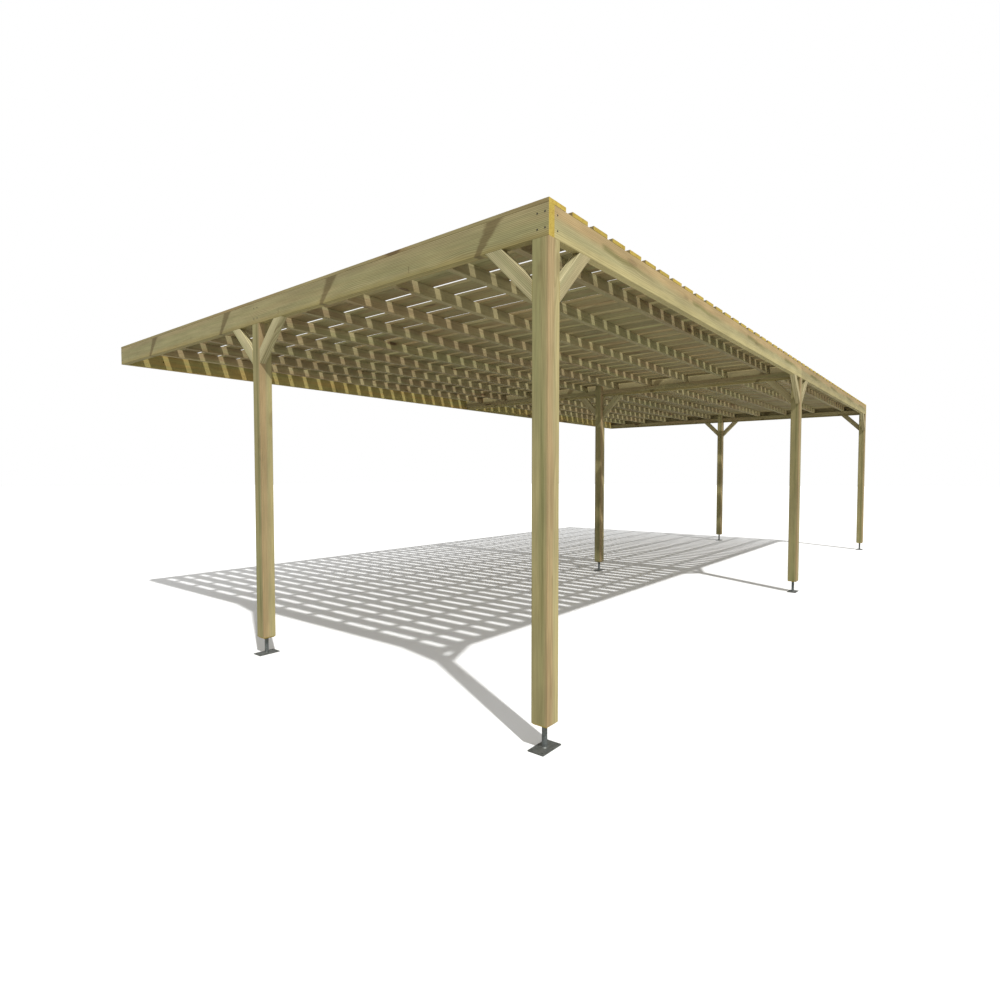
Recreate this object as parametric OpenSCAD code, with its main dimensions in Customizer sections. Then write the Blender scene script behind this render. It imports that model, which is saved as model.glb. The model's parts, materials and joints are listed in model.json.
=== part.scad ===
// Lean-to pergola: two timber bays on six posts, fastened to a wall along the back.
// X runs along the front, Y runs from the front to the wall, Z is up.
// The origin is on the ground, under the middle of the roof.

/* [Overall] */
// Length of the roof along the wall
roof_length = 9700; // [7000:50:12000]
// Depth of the roof from its front face to the wall
roof_depth = 4850; // [4000:50:6000]
// Height of the underside of the beams above the ground
clear_height = 2315; // [1900:5:2900]

/* [Posts] */
// Side of the square posts
post_size = 90; // [75:5:140]
// Distance from the front face of the roof to the inner row of posts
inner_row = 2394; // [1900:2:2900]

/* [Feet] */
// Gap between the ground and the bottom of a post
foot_height = 115; // [60:5:200]
// Size of the ground plate along the front
plate_length = 150; // [120:2:200]
// Size of the ground plate across the front
plate_width = 86; // [80:2:160]
// Thickness of the ground plate
plate_thick = 6; // [4:1:12]
// Diameter of the steel rod
rod_d = 26; // [16:1:40]
// Length of the rod inside the post
rod_embed = 100; // [60:5:150]
// Clearance around the rod in its bore
rod_clearance = 0.5; // [0.2:0.1:1.5]
// Diameter of the anchor holes in the plate
anchor_d = 11; // [7:0.5:14]
// Distance between anchor holes along the front
anchor_span_x = 120; // [90:2:130]
// Distance between anchor holes across the front
anchor_span_y = 56; // [40:2:64]

/* [Beams] */
// Thickness of every beam
beam_thick = 45; // [30:1:60]
// Height of every beam
beam_height = 145; // [130:5:220]
// Diameter of the bolt holes in the wall beams
wall_bolt_d = 12; // [8:1:16]
// Distance of the outer bolt holes from the ends of a wall beam
wall_bolt_inset = 310; // [150:10:600]
// Number of bolt holes in each wall beam
wall_bolt_count = 4; // [2:1:6]

/* [Rafters] */
// Thickness of the rafters
rafter_thick = 45; // [30:1:60]
// Height of the rafters
rafter_height = 70; // [45:5:80]
// Number of rafters in front of the inner posts, and again behind them, in each bay
rafter_count = 5; // [2:1:8]
// Gap between the front beam and the first rafter
rafter_front_gap = 270; // [100:2:400]
// Gap between the rafters and the front of the inner posts
rafter_before_post = 190; // [20:2:240]
// Gap between the back of the inner posts and the next rafter
rafter_behind_post = 137; // [20:2:400]
// Gap between the last rafter and the wall beam
rafter_wall_gap = 295; // [100:2:400]
// Width of the bearer strips that carry the rafter ends
strip_thick = 45; // [30:1:45]
// Height of the bearer strips
strip_height = 45; // [30:1:50]

/* [Roof slats] */
// Width of a slat
slat_width = 140; // [80:5:160]
// Thickness of a slat
slat_thick = 20; // [15:1:35]
// Number of slats over each bay
slat_count = 25; // [15:1:27]

/* [Braces] */
// Distance that a brace reaches down the post and along the beam
brace_reach = 275; // [200:5:500]
// Depth of a brace in its own plane
brace_depth = 70; // [45:5:95]
// Thickness of a brace
brace_thick = 45; // [30:1:60]

/* [Hidden] */
$fn = 48;

// Overrun of a cut past the surface it opens
over = 1;

// Ends and middle of the roof
left_x = -roof_length / 2;
right_x = roof_length / 2;
front_y = -roof_depth / 2;
wall_y = roof_depth / 2;
beam_top = clear_height + beam_height;

// Left faces of the three columns of posts, and front faces of the two rows
post_left_x = left_x;
post_middle_x = -post_size / 2;
post_right_x = right_x - post_size;
row_front_y = front_y;
row_inner_y = front_y + inner_row;

// Left faces of the three frame beams: the outer ones lie flush with the outer
// faces of their posts, the middle one over the right half of its posts
beam_left_x = left_x;
beam_middle_x = post_middle_x + post_size - beam_thick;
beam_right_x = right_x - beam_thick;

// Inside faces of the front beam and the wall beam
front_inside_y = front_y + beam_thick;
wall_inside_y = wall_y - beam_thick;

// Front faces of the rafters, in front of and behind the inner posts
rafter_z = beam_top - rafter_height;
front_first_y = front_inside_y + rafter_front_gap;
front_last_y = row_inner_y - rafter_before_post - rafter_thick;
back_first_y = row_inner_y + post_size + rafter_behind_post;
back_last_y = wall_inside_y - rafter_wall_gap - rafter_thick;
rafter_ys = [
    for (i = [0 : rafter_count - 1]) front_first_y + i * (front_last_y - front_first_y) / (rafter_count - 1),
    for (i = [0 : rafter_count - 1]) back_first_y + i * (back_last_y - back_first_y) / (rafter_count - 1)
];

// Distance from one slat to the next over the whole roof
slat_pitch = (roof_length - slat_width) / (2 * slat_count - 1);

// Pressure-treated pine in light, weathered and end-grain tones, and galvanised steel
post_colour = "#9C915F";
beam_colour = "#AB9F77";
rafter_colour = "#7A7150";
slat_colour = "#8A8160";
steel_colour = "#64696A";

// A post with its top halved for the beams and its bottom bored for the rod.
// beam_x is the left face of the frame beam that lies in the halving.
module post(x, y, beam_x, front_row) {
    cut_left = beam_x <= x ? beam_x - over : beam_x;
    cut_right = beam_x + beam_thick >= x + post_size ? beam_x + beam_thick + over : beam_x + beam_thick;
    color(post_colour)
    difference() {
        translate([x, y, foot_height])
            cube([post_size, post_size, beam_top - foot_height]);
        translate([cut_left, y - over, clear_height])
            cube([cut_right - cut_left, post_size + 2 * over, beam_height + over]);
        if (front_row)
            translate([x - over, y - over, clear_height])
                cube([post_size + 2 * over, beam_thick + over, beam_height + over]);
        translate([x + post_size / 2, y + post_size / 2, foot_height - over])
            cylinder(d = rod_d + 2 * rod_clearance, h = rod_embed + over);
    }
}

// A ground plate with four anchor holes, and the rod that the post stands on
module foot(x, y) {
    color(steel_colour)
    translate([x + post_size / 2, y + post_size / 2, 0]) {
        difference() {
            translate([-plate_length / 2, -plate_width / 2, 0])
                cube([plate_length, plate_width, plate_thick]);
            for (sx = [-1, 1], sy = [-1, 1])
                translate([sx * anchor_span_x / 2, sy * anchor_span_y / 2, -over])
                    cylinder(d = anchor_d, h = plate_thick + 2 * over);
        }
        cylinder(d = rod_d, h = foot_height + rod_embed);
        translate([0, 0, plate_thick])
            cylinder(d1 = rod_d * 1.4, d2 = rod_d, h = rod_d * 0.2);
    }
}

// A beam from the front to the wall, from y0 to y1
module frame_beam(x, y0, y1) {
    color(beam_colour)
    translate([x, y0, clear_height])
        cube([beam_thick, y1 - y0, beam_height]);
}

// A length of the beam across the front
module front_beam(x0, x1) {
    color(beam_colour)
    translate([x0, front_y, clear_height])
        cube([x1 - x0, beam_thick, beam_height]);
}

// A length of the beam on the wall, bored for the wall bolts
module wall_beam(x0, x1) {
    bolt_step = (x1 - x0 - 2 * wall_bolt_inset) / (wall_bolt_count - 1);
    color(beam_colour)
    difference() {
        translate([x0, wall_inside_y, clear_height])
            cube([x1 - x0, beam_thick, beam_height]);
        for (i = [0 : wall_bolt_count - 1])
            translate([x0 + wall_bolt_inset + i * bolt_step, wall_inside_y - over, clear_height + beam_height / 2])
                rotate([-90, 0, 0])
                    cylinder(d = wall_bolt_d, h = beam_thick + 2 * over);
    }
}

// One length of bearer strip along a frame beam
module bearer_length(x, y0, y1) {
    color(rafter_colour)
    translate([x, y0, rafter_z - strip_height])
        cube([strip_thick, y1 - y0, strip_height]);
}

// A bearer on the side of a frame beam where the posts rise, cut between them
module bearer_between_posts(x) {
    bearer_length(x, row_front_y + post_size, row_inner_y);
    bearer_length(x, row_inner_y + post_size, wall_inside_y);
}

// The rafters of one bay, from one frame beam to the next
module rafters(x0, x1) {
    color(rafter_colour)
    for (y = rafter_ys)
        translate([x0, y, rafter_z])
            cube([x1 - x0, rafter_thick, rafter_height]);
}

// The slats over one bay, counted from the left end of the roof
module slats(first) {
    color(slat_colour)
    for (i = [first : first + slat_count - 1])
        translate([left_x + i * slat_pitch, front_y, beam_top])
            cube([slat_width, roof_depth, slat_thick]);
}

// A 45-degree brace in the X-Z plane with its square ends on the post and the beam:
// the corner of post and beam is at the origin, the brace reaches along +X
module brace_shape() {
    inner_reach = brace_reach - brace_depth * sqrt(2);
    color(beam_colour)
    translate([0, brace_thick, 0])
        rotate([90, 0, 0])
            linear_extrude(brace_thick)
                polygon([[0, -inner_reach], [0, -brace_reach], [brace_reach, 0], [inner_reach, 0]]);
}

// A brace along the front beam, to the right of x (way = 1) or to its left (way = -1)
module front_brace(x, way) {
    translate([x, front_y, clear_height])
        mirror([way < 0 ? 1 : 0, 0, 0])
            brace_shape();
}

// A brace under a frame beam, towards the wall from y (way = 1) or towards the front (way = -1)
module frame_brace(beam_x, y, way) {
    translate([beam_x, y, clear_height])
        mirror([0, way < 0 ? 1 : 0, 0])
            rotate([0, 0, 90])
                translate([0, -brace_thick, 0])
                    brace_shape();
}

module post_front_left() { post(post_left_x, row_front_y, beam_left_x, true); }
module post_front_middle() { post(post_middle_x, row_front_y, beam_middle_x, true); }
module post_front_right() { post(post_right_x, row_front_y, beam_right_x, true); }
module post_inner_left() { post(post_left_x, row_inner_y, beam_left_x, false); }
module post_inner_middle() { post(post_middle_x, row_inner_y, beam_middle_x, false); }
module post_inner_right() { post(post_right_x, row_inner_y, beam_right_x, false); }

module foot_front_left() { foot(post_left_x, row_front_y); }
module foot_front_middle() { foot(post_middle_x, row_front_y); }
module foot_front_right() { foot(post_right_x, row_front_y); }
module foot_inner_left() { foot(post_left_x, row_inner_y); }
module foot_inner_middle() { foot(post_middle_x, row_inner_y); }
module foot_inner_right() { foot(post_right_x, row_inner_y); }

module frame_beam_left() { frame_beam(beam_left_x, front_y, wall_y); }
module frame_beam_middle() { frame_beam(beam_middle_x, front_inside_y, wall_inside_y); }
module frame_beam_right() { frame_beam(beam_right_x, front_y, wall_y); }

module front_beam_left() { front_beam(left_x + beam_thick, 0); }
module front_beam_right() { front_beam(0, right_x - beam_thick); }
module wall_beam_left() { wall_beam(left_x + beam_thick, 0); }
module wall_beam_right() { wall_beam(0, right_x - beam_thick); }

module bearer_left() { bearer_between_posts(beam_left_x + beam_thick); }
module bearer_middle_left() { bearer_between_posts(beam_middle_x - strip_thick); }
module bearer_middle_right() { bearer_length(beam_middle_x + beam_thick, front_inside_y, wall_inside_y); }
module bearer_right() { bearer_between_posts(beam_right_x - strip_thick); }

module rafters_left_bay() { rafters(beam_left_x + beam_thick, beam_middle_x); }
module rafters_right_bay() { rafters(beam_middle_x + beam_thick, beam_right_x); }
module slats_left_bay() { slats(0); }
module slats_right_bay() { slats(slat_count); }

module brace_front_left_side() { front_brace(post_left_x + post_size, 1); }
module brace_front_left_back() { frame_brace(beam_left_x, row_front_y + post_size, 1); }
module brace_front_middle_left() { front_brace(post_middle_x, -1); }
module brace_front_middle_right() { front_brace(post_middle_x + post_size, 1); }
module brace_front_middle_back() { frame_brace(beam_middle_x, row_front_y + post_size, 1); }
module brace_front_right_side() { front_brace(post_right_x, -1); }
module brace_front_right_back() { frame_brace(beam_right_x, row_front_y + post_size, 1); }
module brace_inner_left_front() { frame_brace(beam_left_x, row_inner_y, -1); }
module brace_inner_left_back() { frame_brace(beam_left_x, row_inner_y + post_size, 1); }
module brace_inner_middle_front() { frame_brace(beam_middle_x, row_inner_y, -1); }
module brace_inner_middle_back() { frame_brace(beam_middle_x, row_inner_y + post_size, 1); }
module brace_inner_right_front() { frame_brace(beam_right_x, row_inner_y, -1); }
module brace_inner_right_back() { frame_brace(beam_right_x, row_inner_y + post_size, 1); }

post_front_left();
post_front_middle();
post_front_right();
post_inner_left();
post_inner_middle();
post_inner_right();
foot_front_left();
foot_front_middle();
foot_front_right();
foot_inner_left();
foot_inner_middle();
foot_inner_right();
frame_beam_left();
frame_beam_middle();
frame_beam_right();
front_beam_left();
front_beam_right();
wall_beam_left();
wall_beam_right();
bearer_left();
bearer_middle_left();
bearer_middle_right();
bearer_right();
rafters_left_bay();
rafters_right_bay();
slats_left_bay();
slats_right_bay();
brace_front_left_side();
brace_front_left_back();
brace_front_middle_left();
brace_front_middle_right();
brace_front_middle_back();
brace_front_right_side();
brace_front_right_back();
brace_inner_left_front();
brace_inner_left_back();
brace_inner_middle_front();
brace_inner_middle_back();
brace_inner_right_front();
brace_inner_right_back();
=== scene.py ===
import json
import math
import random

import bmesh
import bpy
import numpy as np
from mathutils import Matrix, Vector

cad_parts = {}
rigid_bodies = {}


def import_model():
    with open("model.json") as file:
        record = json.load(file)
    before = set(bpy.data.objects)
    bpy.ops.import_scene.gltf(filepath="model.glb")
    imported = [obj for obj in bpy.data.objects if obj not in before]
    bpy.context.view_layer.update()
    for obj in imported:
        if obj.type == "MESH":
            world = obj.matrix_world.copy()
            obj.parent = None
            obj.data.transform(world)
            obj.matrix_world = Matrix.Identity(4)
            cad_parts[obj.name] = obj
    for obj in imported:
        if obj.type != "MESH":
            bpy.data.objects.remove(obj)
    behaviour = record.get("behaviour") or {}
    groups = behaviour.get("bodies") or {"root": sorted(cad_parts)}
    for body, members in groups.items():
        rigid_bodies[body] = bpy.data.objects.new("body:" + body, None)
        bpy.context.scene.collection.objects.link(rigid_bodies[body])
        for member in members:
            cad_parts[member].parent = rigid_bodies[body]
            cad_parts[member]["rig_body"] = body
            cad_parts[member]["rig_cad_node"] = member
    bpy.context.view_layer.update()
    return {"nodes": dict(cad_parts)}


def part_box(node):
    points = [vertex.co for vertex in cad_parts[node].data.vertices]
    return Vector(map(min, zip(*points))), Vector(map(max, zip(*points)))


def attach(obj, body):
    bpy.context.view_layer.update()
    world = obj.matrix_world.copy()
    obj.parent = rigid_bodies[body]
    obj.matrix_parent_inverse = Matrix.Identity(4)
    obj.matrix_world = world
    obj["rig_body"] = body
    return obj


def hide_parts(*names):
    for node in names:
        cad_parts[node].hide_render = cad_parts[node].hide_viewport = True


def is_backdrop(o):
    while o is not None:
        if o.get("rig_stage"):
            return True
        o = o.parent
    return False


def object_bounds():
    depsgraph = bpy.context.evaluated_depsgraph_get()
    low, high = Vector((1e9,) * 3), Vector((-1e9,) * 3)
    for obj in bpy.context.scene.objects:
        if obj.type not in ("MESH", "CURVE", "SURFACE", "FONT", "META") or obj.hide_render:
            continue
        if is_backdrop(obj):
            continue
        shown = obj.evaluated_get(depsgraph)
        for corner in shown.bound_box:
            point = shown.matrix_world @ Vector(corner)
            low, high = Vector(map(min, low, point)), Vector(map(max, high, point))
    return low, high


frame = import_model()

MM = 0.001
BODY = "root"
LENGTH_ALONG_Y = ("frame_beam", "bearer", "slats")
chance = random.Random(4711)


# ---------------------------------------------------------------- shop helpers

def clear_selection():
    for thing in bpy.context.selected_objects:
        thing.select_set(False)


def pick(*things):
    clear_selection()
    for thing in things:
        thing.select_set(True)
    bpy.context.view_layer.objects.active = things[-1]


def edit_edges(piece, wanted, work):
    """Selects the edges that wanted(edge) is true for, in edit mode, and runs work on them."""
    pick(piece)
    bpy.ops.object.mode_set(mode="EDIT")
    bpy.ops.mesh.select_mode(type="EDGE")
    bpy.ops.mesh.select_all(action="DESELECT")
    cage = bmesh.from_edit_mesh(piece.data)
    cage.select_mode = {"EDGE"}
    found = [edge for edge in cage.edges if wanted(edge)]
    for edge in found:
        edge.select_set(True)
    bmesh.update_edit_mesh(piece.data)
    if found:
        work()
    bpy.ops.object.mode_set(mode="OBJECT")


def sharp(edge, least=math.radians(30)):
    return len(edge.link_faces) == 2 and edge.calc_face_angle(0) > least


def runs_along(edge, kind):
    """True for the sharp edges along a timber's length, which the planer eases. Sawn ends stay crisp."""
    if not sharp(edge):
        return False
    step = edge.verts[1].co - edge.verts[0].co
    step.normalize()
    if kind == "post":
        return abs(step.z) > 0.99
    if kind == "brace":
        level = max(abs(step.x), abs(step.y))
        return abs(level - abs(step.z)) < 0.02
    return abs(step.y if kind in LENGTH_ALONG_Y else step.x) > 0.99


def sawn_from(node, name):
    """A clean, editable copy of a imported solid, with its flat faces whole again."""
    piece = frame["nodes"][node].copy()
    piece.data = frame["nodes"][node].data.copy()
    piece.name = name
    piece.data.name = name
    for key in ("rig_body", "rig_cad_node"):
        if key in piece:
            del piece[key]
    piece.parent = None
    bpy.context.scene.collection.objects.link(piece)
    pick(piece)
    bpy.ops.object.mode_set(mode="EDIT")
    bpy.ops.mesh.select_all(action="SELECT")
    bpy.ops.mesh.remove_doubles(threshold=0.01 * MM)
    bpy.ops.mesh.dissolve_limited(angle_limit=math.radians(0.5))
    bpy.ops.mesh.select_all(action="DESELECT")
    bpy.ops.object.mode_set(mode="OBJECT")
    return piece


def ease(piece, width, steps=2, wanted=sharp):
    edit_edges(piece, wanted, lambda: bpy.ops.mesh.bevel(
        offset=width, offset_type="OFFSET", segments=steps, profile=0.5,
        affect="EDGES", clamp_overlap=True))


def boards_of(mesh):
    """The separate boards of a mesh, as lists of vertex numbers."""
    links = [[] for _ in mesh.vertices]
    for edge in mesh.edges:
        a, b = edge.vertices
        links[a].append(b)
        links[b].append(a)
    seen = [False] * len(links)
    boards = []
    for start in range(len(links)):
        if seen[start]:
            continue
        seen[start] = True
        board, queue = [], [start]
        while queue:
            here = queue.pop()
            board.append(here)
            for there in links[here]:
                if not seen[there]:
                    seen[there] = True
                    queue.append(there)
        boards.append(board)
    return boards


def lay_grain(piece, kind):
    """Gives every board its own piece of a log: where it was sawn from and how it has weathered.
    The attribute timber runs along the board, then across it. stave runs from its start in metres,
    then from -1 to 1 across it. tint holds its tone."""
    slanted = kind == "brace"
    heart_low, heart_high = HEART.get(kind, (0.0, 0.05))
    mesh = piece.data
    places = np.array([v.co for v in mesh.vertices], float)
    timber = np.zeros_like(places)
    tint = np.zeros_like(places)
    stave = np.zeros_like(places)
    run = np.zeros_like(places)
    for board in boards_of(mesh):
        own = places[board]
        low, high = own.min(0), own.max(0)
        middle = (low + high) / 2
        if slanted:
            axes = np.linalg.svd(own - own.mean(0), full_matrices=False)[2]
        else:
            axes = np.eye(3)[np.argsort(-np.round(high - low, 3), kind="stable")]
        sawn = (own - middle) @ axes.T
        reach = np.abs(sawn).max(0)
        stave[board] = np.c_[sawn[:, 0] + reach[0], sawn[:, 1] / reach[1], sawn[:, 2] / reach[2]]
        sawn[:, 0] += chance.uniform(2, 60)
        sawn[:, 1] += chance.choice((-1, 1)) * chance.uniform(heart_low, heart_high)
        sawn[:, 2] += chance.choice((-1, 1)) * chance.uniform(0.03, 0.11)
        timber[board] = sawn
        tint[board] = (chance.random(), chance.random(), chance.random())
        run[board] = axes[0]
    for title, values in (("timber", timber), ("tint", tint), ("stave", stave)):
        layer = mesh.attributes.new(title, "FLOAT_VECTOR", "POINT")
        layer.data.foreach_set("vector", values.astype(np.float32).ravel())
    for face in mesh.polygons:
        along = Vector(run[face.vertices[0]])
        face.material_index = 1 if abs(face.normal.dot(along)) > 0.6 else 0


# ---------------------------------------------------------------- finishes

class Finish:
    """A material and a short way to add nodes to it."""

    def __init__(self, title):
        self.material = bpy.data.materials.new(title)
        self.material.use_nodes = True
        self.tree = self.material.node_tree
        self.tree.nodes.clear()
        self.out = self.tree.nodes.new("ShaderNodeOutputMaterial")
        self.shader = self.tree.nodes.new("ShaderNodeBsdfPrincipled")
        self.tree.links.new(self.shader.outputs[0], self.out.inputs["Surface"])

    def put(self, socket, value):
        if isinstance(value, bpy.types.NodeSocket):
            self.tree.links.new(value, socket)
        else:
            socket.default_value = value

    def attribute(self, title):
        made = self.tree.nodes.new("ShaderNodeAttribute")
        made.attribute_name = title
        return made.outputs["Vector"]

    def place(self):
        return self.tree.nodes.new("ShaderNodeTexCoord").outputs["Object"]

    def split(self, vector):
        made = self.tree.nodes.new("ShaderNodeSeparateXYZ")
        self.put(made.inputs[0], vector)
        return made.outputs

    def join(self, x, y, z):
        made = self.tree.nodes.new("ShaderNodeCombineXYZ")
        for socket, value in zip(made.inputs, (x, y, z)):
            self.put(socket, value)
        return made.outputs[0]

    def sum(self, kind, a, b=0.0, c=0.0):
        made = self.tree.nodes.new("ShaderNodeMath")
        made.operation = kind
        for socket, value in zip(made.inputs, (a, b, c)):
            self.put(socket, value)
        return made.outputs[0]

    def vector(self, kind, a, b=(0, 0, 0)):
        made = self.tree.nodes.new("ShaderNodeVectorMath")
        made.operation = kind
        self.put(made.inputs[0], a)
        self.put(made.inputs[1], b)
        return made.outputs["Value" if kind in ("LENGTH", "DISTANCE", "DOT_PRODUCT") else "Vector"]

    def noise(self, vector, scale, detail=2.0, rough=0.5, colour=False):
        made = self.tree.nodes.new("ShaderNodeTexNoise")
        self.put(made.inputs["Vector"], vector)
        made.inputs["Scale"].default_value = scale
        made.inputs["Detail"].default_value = detail
        made.inputs["Roughness"].default_value = rough
        return made.outputs["Color" if colour else "Fac"]

    def cells(self, vector, scale):
        made = self.tree.nodes.new("ShaderNodeTexVoronoi")
        self.put(made.inputs["Vector"], vector)
        made.inputs["Scale"].default_value = scale
        return made.outputs["Distance"]

    def ramp(self, value, low, high, to_low=0.0, to_high=1.0):
        made = self.tree.nodes.new("ShaderNodeMapRange")
        made.interpolation_type = "SMOOTHSTEP"
        for title, number in (("Value", value), ("From Min", low), ("From Max", high),
                              ("To Min", to_low), ("To Max", to_high)):
            self.put(made.inputs[title], number)
        return made.outputs["Result"]

    def blend(self, share, a, b, kind="MIX"):
        made = self.tree.nodes.new("ShaderNodeMix")
        made.data_type = "RGBA"
        made.blend_type = kind
        self.put(made.inputs["Factor"], share)
        self.put(made.inputs[6], a)
        self.put(made.inputs[7], b)
        return made.outputs[2]

    def bump(self, height, strength, distance):
        made = self.tree.nodes.new("ShaderNodeBump")
        made.inputs["Strength"].default_value = strength
        made.inputs["Distance"].default_value = distance
        self.put(made.inputs["Height"], height)
        self.put(self.shader.inputs["Normal"], made.outputs[0])


def rgb(red, green, blue):
    """A colour as the eye reads it, from 0 to 255, as the linear colour that the shader takes."""
    def linear(v):
        v /= 255
        return v / 12.92 if v <= 0.04045 else ((v + 0.055) / 1.055) ** 2.4
    return (linear(red), linear(green), linear(blue), 1.0)


def spike_knots(f, timber, colour):
    """Broad slanting knots at even steps along a beam, an ochre lower edge and short checks above it."""
    run, rise, _ = f.split(f.attribute("stave"))
    wander = f.noise(f.vector("MULTIPLY", timber, (18, 40, 40)), 1.0, 3.0)
    step = f.sum("DIVIDE", f.sum("MULTIPLY_ADD", rise, 0.055, f.sum("SUBTRACT", run, 0.36)), 1.261)
    gap = f.sum("MULTIPLY", f.sum("SUBTRACT", f.sum("FRACT", f.sum("ADD", step, 0.5)), 0.5), 1.261)
    gap = f.sum("ADD", f.sum("ABSOLUTE", gap), f.sum("MULTIPLY_ADD", wander, 0.03, -0.015))
    half = f.sum("MULTIPLY_ADD", rise, 0.018, 0.038)
    knot = f.ramp(f.sum("DIVIDE", gap, half), 0.55, 1.25, 1.0, 0.0)
    ochre = f.ramp(f.sum("MULTIPLY_ADD", wander, 0.5, rise), -0.15, -0.75, 0.0, 0.5)
    colour = f.blend(ochre, colour, rgb(160, 142, 80))
    colour = f.blend(f.ramp(rise, 0.1, 0.9, 0.0, 0.3), colour, rgb(176, 154, 120))
    check_step = f.sum("FRACT", f.sum("DIVIDE", f.sum("SUBTRACT", run, 0.78), 1.261))
    check = f.ramp(f.sum("ABSOLUTE", f.sum("SUBTRACT", check_step, 0.09)), 0.001, 0.004, 1.0, 0.0)
    check = f.sum("MULTIPLY", check, f.ramp(f.sum("ABSOLUTE", f.sum("ADD", rise, 0.45)), 0.1, 0.35, 0.6, 0.0))
    colour = f.blend(check, colour, rgb(110, 92, 56))
    return f.blend(f.sum("MULTIPLY", knot, 0.74), colour, rgb(108, 92, 58))


def green_smears(f, timber, colour):
    """Pink-tan upper edge, pale lower edge, and green smears at even steps between them."""
    run, rise, _ = f.split(f.attribute("stave"))
    wander = f.noise(f.vector("MULTIPLY", timber, (5, 16, 16)), 1.0, 3.0)
    rise = f.sum("ADD", rise, f.sum("MULTIPLY_ADD", wander, 0.5, -0.25))
    step = f.sum("MULTIPLY", f.sum("FRACT", f.sum("DIVIDE", f.sum("SUBTRACT", run, 0.41), 1.212)), 1.212)
    along = f.sum("MULTIPLY", f.ramp(step, 0.0, 0.06), f.ramp(step, 0.25, 0.75, 1.0, 0.0))
    off = f.sum("ABSOLUTE", f.sum("SUBTRACT", rise, f.sum("MULTIPLY_ADD", step, -0.35, 0.28)))
    smear = f.sum("MULTIPLY", along, f.ramp(off, 0.04, 0.34, 1.0, 0.0))
    colour = f.blend(f.ramp(rise, -0.1, 0.55, 0.0, 0.6), colour, rgb(190, 156, 110))
    colour = f.blend(f.ramp(rise, -0.2, -0.75, 0.0, 0.6), colour, rgb(196, 182, 128))
    return f.blend(f.sum("MULTIPLY", smear, 0.62), colour, rgb(112, 112, 60))


def post_marks(f, timber, colour):
    """A greener side with long olive streaks, and a front that turns from pink-tan to pale."""
    _, side, front = f.split(f.attribute("stave"))
    wander = f.noise(f.vector("MULTIPLY", timber, (1.6, 14, 14)), 1.0, 3.0)
    on_side = f.ramp(side, -0.99, -0.85, 1.0, 0.0)
    on_front = f.ramp(front, -0.99, -0.85, 1.0, 0.0)
    off = f.sum("ABSOLUTE", f.sum("ADD", front, f.sum("MULTIPLY_ADD", wander, 0.5, -0.02)))
    streak = f.sum("MULTIPLY", f.ramp(off, 0.05, 0.36, 1.0, 0.0), f.ramp(wander, 0.38, 0.6, 0.25, 1.0))
    colour = f.blend(f.sum("MULTIPLY", on_side, 0.45), colour, rgb(158, 154, 104))
    colour = f.blend(f.sum("MULTIPLY", f.sum("MULTIPLY", streak, on_side), 0.6), colour, rgb(116, 114, 68))
    edge = f.sum("MULTIPLY", f.ramp(front, -0.45, -0.9), on_side)
    colour = f.blend(f.sum("MULTIPLY", edge, 0.5), colour, rgb(178, 150, 112))
    turn = f.sum("ADD", side, f.sum("MULTIPLY_ADD", wander, 0.7, -0.35))
    colour = f.blend(f.sum("MULTIPLY", f.ramp(turn, 0.3, -0.35), f.sum("MULTIPLY", on_front, 0.5)), colour,
                     rgb(188, 154, 114))
    return f.blend(f.sum("MULTIPLY", f.ramp(turn, 0.0, 0.8), f.sum("MULTIPLY", on_front, 0.6)), colour,
                   rgb(196, 182, 128))


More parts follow.
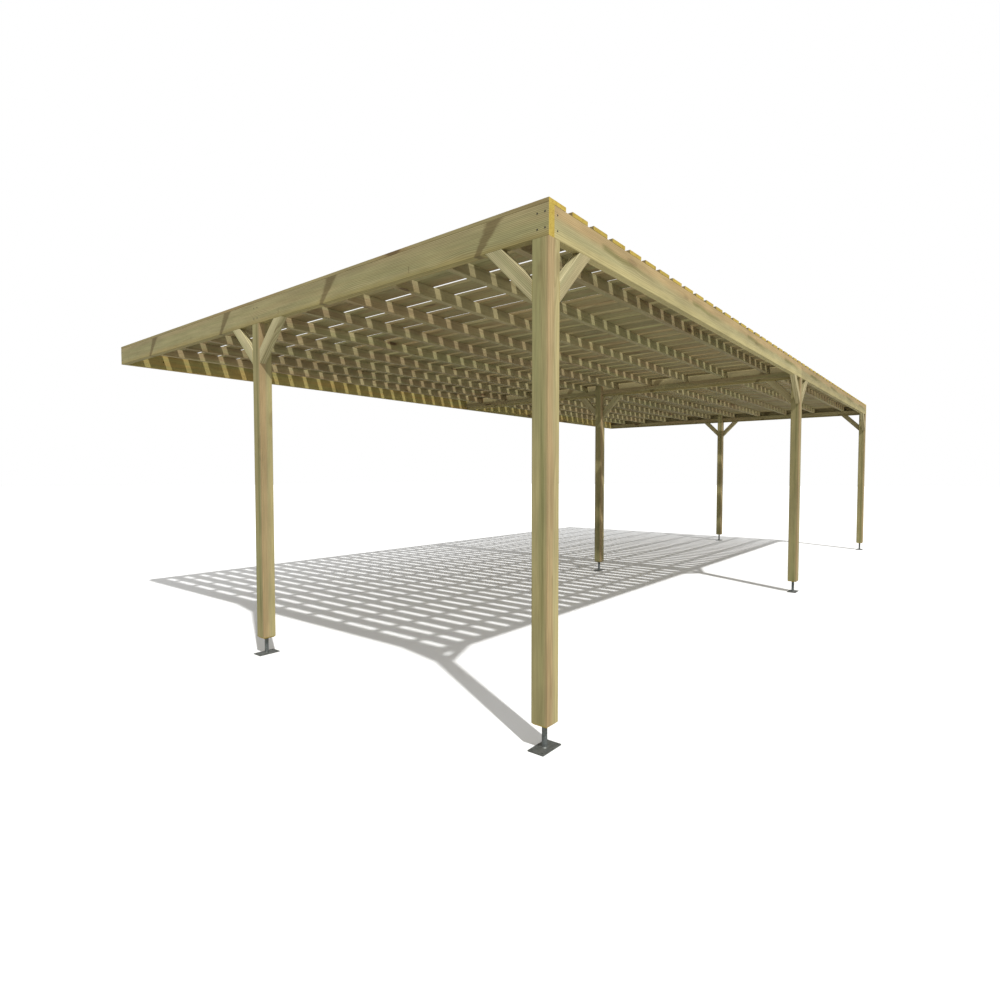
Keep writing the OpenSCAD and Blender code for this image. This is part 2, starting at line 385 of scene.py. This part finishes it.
def timber_finish(title, pale, dark, green, warm, ring_pitch=6.5 * MM, ring_depth=0.55,
                  green_share=0.6, warm_share=0.6, knots=1.0, marks=None, wander=0.05):
    """Planed, pressure-treated softwood: growth rings, fibres, green and tan streaks and knots."""
    f = Finish(title)
    timber = f.attribute("timber")
    tint = f.split(f.attribute("tint"))

    sway = f.noise(f.vector("MULTIPLY", timber, (1.1, 5.0, 5.0)), 1.0, 2.0, 0.5, colour=True)
    sway = f.vector("MULTIPLY", f.vector("SUBTRACT", sway, (0.5, 0.5, 0.5)), (0.0, wander, wander))
    grown = f.split(f.vector("ADD", timber, sway))

    knot_place = f.vector("MULTIPLY", timber, (1.9, 6.5, 6.5))
    knot_gap = f.cells(knot_place, 1.0)
    knot_edge = f.noise(f.vector("MULTIPLY", timber, (30, 60, 60)), 1.0, 2.0)
    knot_gap = f.sum("ADD", knot_gap, f.sum("MULTIPLY", knot_edge, 0.05))
    knot = f.ramp(knot_gap, 0.10, 0.17, 1.0, 0.0)
    halo = f.ramp(knot_gap, 0.10, 0.42, 1.0, 0.0)

    reach = f.vector("LENGTH", f.join(0.0, grown[1], grown[2]))
    reach = f.sum("SUBTRACT", reach, f.sum("MULTIPLY", halo, 0.012))
    year = f.sum("FRACT", f.sum("DIVIDE", reach, ring_pitch))
    late = f.sum("MULTIPLY", f.ramp(year, 0.35, 0.86), f.ramp(year, 0.93, 1.0, 1.0, 0.0))

    fibre = f.noise(f.vector("MULTIPLY", timber, (5.0, 420.0, 420.0)), 1.0, 3.0, 0.6)
    streak = f.noise(f.vector("MULTIPLY", timber, (0.55, 22.0, 22.0)), 1.0, 3.0, 0.55)
    drift = f.noise(f.vector("MULTIPLY", timber, (0.8, 9.0, 9.0)), 1.7, 2.0, 0.5)
    patch = f.noise(f.vector("MULTIPLY", timber, (2.6, 9.0, 9.0)), 1.0, 3.0, 0.55)

    ring_share = f.sum("MULTIPLY", late, f.ramp(drift, 0.3, 0.65, 0.35 * ring_depth, ring_depth))
    colour = f.blend(ring_share, pale, dark)
    green_here = f.sum("MULTIPLY", f.ramp(f.sum("ADD", streak, f.sum("MULTIPLY", tint[1], 0.2)), 0.52, 0.78),
                       green_share)
    colour = f.blend(green_here, colour, green)
    warm_here = f.sum("MULTIPLY", f.ramp(f.sum("ADD", drift, f.sum("MULTIPLY", tint[2], 0.16)), 0.50, 0.72),
                      warm_share)
    colour = f.blend(warm_here, colour, warm)
    if marks:
        colour = marks(f, timber, colour)
        colour = f.blend(f.sum("MULTIPLY", late, 0.3 * ring_depth), colour, dark)
    colour = f.blend(f.ramp(fibre, 0.25, 0.75, 0.32, 0.0), colour, rgb(74, 66, 40), "MULTIPLY")
    shade = f.ramp(patch, 0.25, 0.75, 0.86, 1.08)
    shade = f.sum("MULTIPLY", shade, f.sum("MULTIPLY_ADD", tint[0], 0.26, 0.87))
    colour = f.blend(1.0, colour, f.join(shade, shade, shade), "MULTIPLY")
    colour = f.blend(f.sum("MULTIPLY", halo, 0.35 * knots), colour, rgb(128, 104, 62))
    colour = f.blend(f.sum("MULTIPLY", knot, 0.85 * knots), colour, rgb(84, 62, 38))
    f.put(f.shader.inputs["Base Color"], colour)
    f.put(f.shader.inputs["Roughness"], f.ramp(fibre, 0.2, 0.8, 0.82, 0.62))
    f.shader.inputs["Specular IOR Level"].default_value = 0.25
    relief = f.sum("ADD", f.sum("MULTIPLY", late, 0.6), f.sum("MULTIPLY", fibre, 0.7))
    relief = f.sum("SUBTRACT", relief, f.sum("MULTIPLY", knot, 0.4))
    f.bump(relief, 0.5, 0.6 * MM)
    return f.material


def end_finish(title, pale, dark, ring_pitch=5.0 * MM):
    """Sawn end grain: arcs of growth rings, pores and short checks, in the yellow of fresh cuts."""
    f = Finish(title)
    timber = f.attribute("timber")
    tint = f.split(f.attribute("tint"))
    sway = f.noise(f.vector("MULTIPLY", timber, (1.0, 14.0, 14.0)), 1.0, 2.0, 0.5, colour=True)
    sway = f.vector("MULTIPLY", f.vector("SUBTRACT", sway, (0.5, 0.5, 0.5)), (0.0, 0.02, 0.02))
    grown = f.split(f.vector("ADD", timber, sway))
    reach = f.vector("LENGTH", f.join(0.0, grown[1], grown[2]))
    year = f.sum("FRACT", f.sum("DIVIDE", reach, ring_pitch))
    late = f.sum("MULTIPLY", f.ramp(year, 0.3, 0.85), f.ramp(year, 0.92, 1.0, 1.0, 0.0))
    pores = f.noise(f.vector("MULTIPLY", timber, (30.0, 500.0, 500.0)), 1.0, 3.0, 0.65)
    cloud = f.noise(f.vector("MULTIPLY", timber, (6.0, 45.0, 45.0)), 1.0, 3.0, 0.6)
    colour = f.blend(f.sum("MULTIPLY", late, 0.55), pale, dark)
    colour = f.blend(f.ramp(cloud, 0.45, 0.72, 0.0, 0.6), colour, dark)
    colour = f.blend(f.ramp(pores, 0.3, 0.7, 0.35, 0.0), colour, rgb(88, 66, 24), "MULTIPLY")
    shade = f.sum("MULTIPLY_ADD", tint[0], 0.24, 0.88)
    colour = f.blend(1.0, colour, f.join(shade, shade, shade), "MULTIPLY")
    f.put(f.shader.inputs["Base Color"], colour)
    f.put(f.shader.inputs["Roughness"], f.ramp(pores, 0.2, 0.8, 0.9, 0.75))
    f.shader.inputs["Specular IOR Level"].default_value = 0.15
    f.bump(f.sum("ADD", f.sum("MULTIPLY", pores, 0.8), f.sum("MULTIPLY", late, 0.4)), 0.5, 0.5 * MM)
    return f.material


def zinc_finish(title):
    """Hot-dip galvanised steel, dulled outdoors: spangle, runs, and darker and browner in the lowest 30 mm."""
    f = Finish(title)
    place = f.place()
    spangle = f.cells(place, 95.0)
    cloud = f.noise(place, 22.0, 3.0, 0.6)
    grit = f.noise(place, 900.0, 2.0, 0.6)
    colour = f.blend(f.ramp(spangle, 0.0, 0.9), rgb(112, 117, 116), rgb(88, 93, 92))
    colour = f.blend(f.ramp(cloud, 0.45, 0.7, 0.0, 0.5), colour, rgb(132, 136, 132))
    # darker and browner colour over the lowest 30 mm above the floor
    colour = f.blend(f.ramp(f.split(place)[2], 0.0, 0.03, 0.35, 0.0), colour, rgb(96, 92, 80))
    f.put(f.shader.inputs["Base Color"], colour)
    f.shader.inputs["Metallic"].default_value = 0.55
    f.put(f.shader.inputs["Roughness"], f.ramp(cloud, 0.3, 0.7, 0.62, 0.46))
    f.bump(f.sum("ADD", f.sum("MULTIPLY", grit, 0.3), cloud), 0.25, 0.4 * MM)
    return f.material


def screw_finish(title):
    """Dark, coated screw heads."""
    f = Finish(title)
    place = f.place()
    wear = f.noise(place, 700.0, 2.0, 0.6)
    f.put(f.shader.inputs["Base Color"], f.blend(f.ramp(wear, 0.4, 0.7), rgb(52, 50, 44), rgb(86, 82, 70)))
    f.shader.inputs["Metallic"].default_value = 0.5
    f.put(f.shader.inputs["Roughness"], f.ramp(wear, 0.3, 0.7, 0.45, 0.65))
    f.bump(wear, 0.2, 0.1 * MM)
    return f.material


PALE = rgb(180, 170, 126)
DARK = rgb(134, 122, 80)
GREEN = rgb(136, 140, 92)
TAN = rgb(180, 158, 116)

post_finish = timber_finish("treated pine posts", PALE, DARK, GREEN, TAN, 7 * MM, 0.5, 0.5, 0.5, 0.3, post_marks)
spiked_finish = timber_finish("treated pine with spike knots", PALE, DARK, GREEN, TAN, 7.5 * MM, 0.95, 0.35, 0.3,
                              0.0, spike_knots, 0.012)
smeared_finish = timber_finish("treated pine with green smears", PALE, DARK, GREEN, TAN, 7 * MM, 0.5, 0.2, 0.2,
                               0.3, green_smears, 0.02)
wall_finish = timber_finish("treated pine on the wall", rgb(176, 162, 100), rgb(132, 114, 62), GREEN,
                            rgb(178, 148, 88), 7 * MM, 0.6, 0.4, 0.6, 1.0)
brace_finish = timber_finish("treated pine braces", rgb(198, 188, 146), rgb(132, 118, 84), GREEN, TAN, 7 * MM, 0.9,
                             0.4, 0.3, 0.3)
rafter_finish = timber_finish("treated pine rafters", rgb(172, 160, 118), rgb(122, 108, 74), GREEN,
                              rgb(160, 136, 102), 6 * MM, 0.6, 0.4, 0.6, 1.0)
slat_finish = timber_finish("treated pine slats", rgb(158, 146, 104), rgb(114, 100, 64), GREEN,
                            rgb(152, 128, 88), 6.5 * MM, 0.7, 0.4, 0.6, 0.75)
sawn_ends = end_finish("sawn ends", rgb(208, 184, 92), rgb(170, 140, 58))
zinc = zinc_finish("galvanised steel")
screw_steel = screw_finish("coated screws")

WOOD = {
    "post": (post_finish, 2.5 * MM, 2), "frame_beam": (spiked_finish, 3 * MM, 2),
    "front_beam": (smeared_finish, 3 * MM, 2), "wall_beam": (wall_finish, 3 * MM, 2),
    "bearer": (rafter_finish, 2.5 * MM, 2), "rafters": (rafter_finish, 2.5 * MM, 2),
    "slats": (slat_finish, 2 * MM, 2), "brace": (brace_finish, 3 * MM, 2),
}
HEART = {"frame_beam": (0.14, 0.3), "front_beam": (0.08, 0.2), "wall_beam": (0.05, 0.2), "brace": (0.08, 0.2)}


# ---------------------------------------------------------------- timbers and feet

def settle(piece, node):
    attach(piece, BODY)
    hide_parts(node)


for node in sorted(frame["nodes"]):
    if node.startswith("foot"):
        continue
    kind = next(title for title in WOOD if node.startswith(title))
    finish, arris, steps = WOOD[kind]
    piece = sawn_from(node, node + "_timber")
    if kind == "post":
        low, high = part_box(node)
        ease(piece, 9 * MM, 1, lambda edge, low=low, high=high: sharp(edge) and all(
            v.co.z < low.z + MM and (v.co.x < low.x + MM or v.co.x > high.x - MM
                                     or v.co.y < low.y + MM or v.co.y > high.y - MM)
            for v in edge.verts))
    ease(piece, arris, steps, lambda edge, kind=kind: runs_along(edge, kind))
    piece.data.materials.clear()
    piece.data.materials.append(finish)
    piece.data.materials.append(sawn_ends)
    lay_grain(piece, kind)
    settle(piece, node)

for node in sorted(frame["nodes"]):
    if not node.startswith("foot"):
        continue
    piece = sawn_from(node, node + "_galvanised")
    ease(piece, 1 * MM, 2)
    piece.data.materials.clear()
    piece.data.materials.append(zinc)
    pick(piece)
    bpy.ops.object.shade_smooth_by_angle(angle=math.radians(40))
    settle(piece, node)


# ---------------------------------------------------------------- screws

def screw_head(radius, height):
    """One low screw head with a flat top and an eight-sided recess, pointing up at the origin."""
    clear_selection()
    bpy.ops.mesh.primitive_cylinder_add(vertices=8, radius=radius, depth=2 * height, location=(0, 0, 0))
    head = bpy.context.object
    for inset, rise in ((0.3 * radius, 0.0), (0.32 * radius, -0.7 * height)):
        bpy.ops.object.mode_set(mode="EDIT")
        bpy.ops.mesh.select_mode(type="FACE")
        bpy.ops.mesh.select_all(action="DESELECT")
        cage = bmesh.from_edit_mesh(head.data)
        top = max(cage.faces, key=lambda face: (round(face.normal.z, 3), -face.calc_area()))
        top.select_set(True)
        bmesh.update_edit_mesh(head.data)
        bpy.ops.mesh.inset(thickness=inset, depth=0.0)
        bpy.ops.transform.translate(value=(0, 0, rise))
        bpy.ops.object.mode_set(mode="OBJECT")
    return head


def drive_screws(name, places, facing, radius=4.2 * MM, height=1.0 * MM):
    """Copies one screw head to every place, facing out of the timber, and joins them as one piece."""
    head = screw_head(radius, height)
    shape = np.array([v.co for v in head.data.vertices], float)
    rings = [list(face.vertices) for face in head.data.polygons]
    bpy.data.objects.remove(head)
    turn = np.array(Vector((0, 0, 1)).rotation_difference(Vector(facing)).to_matrix())
    points, faces = [], []
    for place in places:
        a = chance.uniform(0, math.pi)
        spin = np.array(((math.cos(a), -math.sin(a), 0), (math.sin(a), math.cos(a), 0), (0, 0, 1)))
        first = len(points) * len(shape)
        points.append(shape @ (turn @ spin).T + np.array(place))
        faces += [[first + v for v in ring] for ring in rings]
    mesh = bpy.data.meshes.new(name)
    mesh.from_pydata(np.concatenate(points).tolist(), [], faces)
    piece = bpy.data.objects.new(name, mesh)
    bpy.context.scene.collection.objects.link(piece)
    mesh.materials.append(screw_steel)
    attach(piece, BODY)


def span(node):
    low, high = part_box(node)
    return low, high


def board_lines(node, axis):
    """The middle of every board of a node, along X (0) or Y (1)."""
    mesh = bpy.data.objects[node + "_timber"].data
    places = np.array([v.co for v in mesh.vertices], float)
    return sorted(float((places[b, axis].min() + places[b, axis].max()) / 2) for b in boards_of(mesh))


left, wall = span("frame_beam_left"), span("wall_beam_left")
front, right = span("front_beam_left"), span("frame_beam_right")
beam_low, beam_high = left[0].z, left[1].z
screw_rows = (beam_low + 37 * MM, beam_high - 38 * MM)
joints_y = [(left[0].y + 20 * MM, left[0].y + 62 * MM),
            (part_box("post_inner_left")[0].y + 24 * MM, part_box("post_inner_left")[1].y - 24 * MM),
            (wall[0].y + 8 * MM, wall[1].y - 12 * MM)]
side_places = [(y, z) for pair in joints_y for y in pair for z in screw_rows]
drive_screws("screws_left_side", [(left[0].x, y, z) for y, z in side_places], (-1, 0, 0))
drive_screws("screws_right_side", [(right[1].x, y, z) for y, z in side_places], (1, 0, 0))
front_x = [left[1].x + 25 * MM, -30 * MM, 30 * MM, right[0].x - 25 * MM]
drive_screws("screws_front", [(x, front[0].y, z) for x in front_x for z in screw_rows], (0, -1, 0))

slat_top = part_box("slats_left_bay")[1].z
cross_y = board_lines("rafters_left_bay", 1) + [(front[0].y + front[1].y) / 2, (wall[0].y + wall[1].y) / 2]
for bay in ("left", "right"):
    slat_x = board_lines("slats_" + bay + "_bay", 0)
    half = 45 * MM
    drive_screws("slat_screws_" + bay, [(x + s * half, y, slat_top) for x in slat_x for y in cross_y for s in (-1, 1)],
                 (0, 0, 1), 4.0 * MM, 0.8 * MM)


# ---------------------------------------------------------------- floor, light and camera

clear_selection()
bpy.ops.mesh.primitive_plane_add(size=160, location=(0, 0, 0))
floor = bpy.context.object
floor.name = "floor"
ground = Finish("plain pale floor")
speck = ground.noise(ground.place(), 3.0, 2.0)
pale_floor = ground.blend(speck, rgb(243, 243, 242), rgb(247, 247, 246))
direct = ground.tree.nodes.new("ShaderNodeLightPath").outputs["Is Camera Ray"]
ground.put(ground.shader.inputs["Base Color"], ground.blend(direct, rgb(188, 188, 182), pale_floor))
ground.shader.inputs["Roughness"].default_value = 0.95
ground.shader.inputs["Specular IOR Level"].default_value = 0.0
floor.data.materials.append(ground.material)
floor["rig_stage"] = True

clear_selection()
bpy.ops.object.light_add(type="SUN", location=(-4, -8, 12))
sun = bpy.context.object
sun.data.energy = 3.3
sun.data.angle = math.radians(1.2)
sun.rotation_euler = Vector((0.3175, 0.619, -1.0)).to_track_quat("-Z", "Y").to_euler()

sky = bpy.data.worlds.new("soft studio")
bpy.context.scene.world = sky
sky.use_nodes = True
sky.node_tree.nodes.clear()
sky_out = sky.node_tree.nodes.new("ShaderNodeOutputWorld")
seen = sky.node_tree.nodes.new("ShaderNodeBackground")
glow = sky.node_tree.nodes.new("ShaderNodeBackground")
mixed = sky.node_tree.nodes.new("ShaderNodeMixShader")
rays = sky.node_tree.nodes.new("ShaderNodeLightPath")
glow.inputs["Color"].default_value = (1.0, 1.0, 1.0, 1.0)
glow.inputs["Strength"].default_value = 0.62
seen.inputs["Color"].default_value = (1.0, 1.0, 1.0, 1.0)
seen.inputs["Strength"].default_value = 1.0
sky.node_tree.links.new(rays.outputs["Is Camera Ray"], mixed.inputs[0])
sky.node_tree.links.new(glow.outputs[0], mixed.inputs[1])
sky.node_tree.links.new(seen.outputs[0], mixed.inputs[2])
sky.node_tree.links.new(mixed.outputs[0], sky_out.inputs["Surface"])

clear_selection()
bpy.ops.object.camera_add(location=(-7.052, -3.9085, 1.258))
camera = bpy.context.object
camera.rotation_euler = (math.radians(90 - 2.26), 0.0, math.radians(-51.42))
camera.data.sensor_width = 36.0
camera.data.lens = 21.42
bpy.context.scene.camera = camera
bpy.context.scene.view_settings.view_transform = "Standard"

low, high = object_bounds()
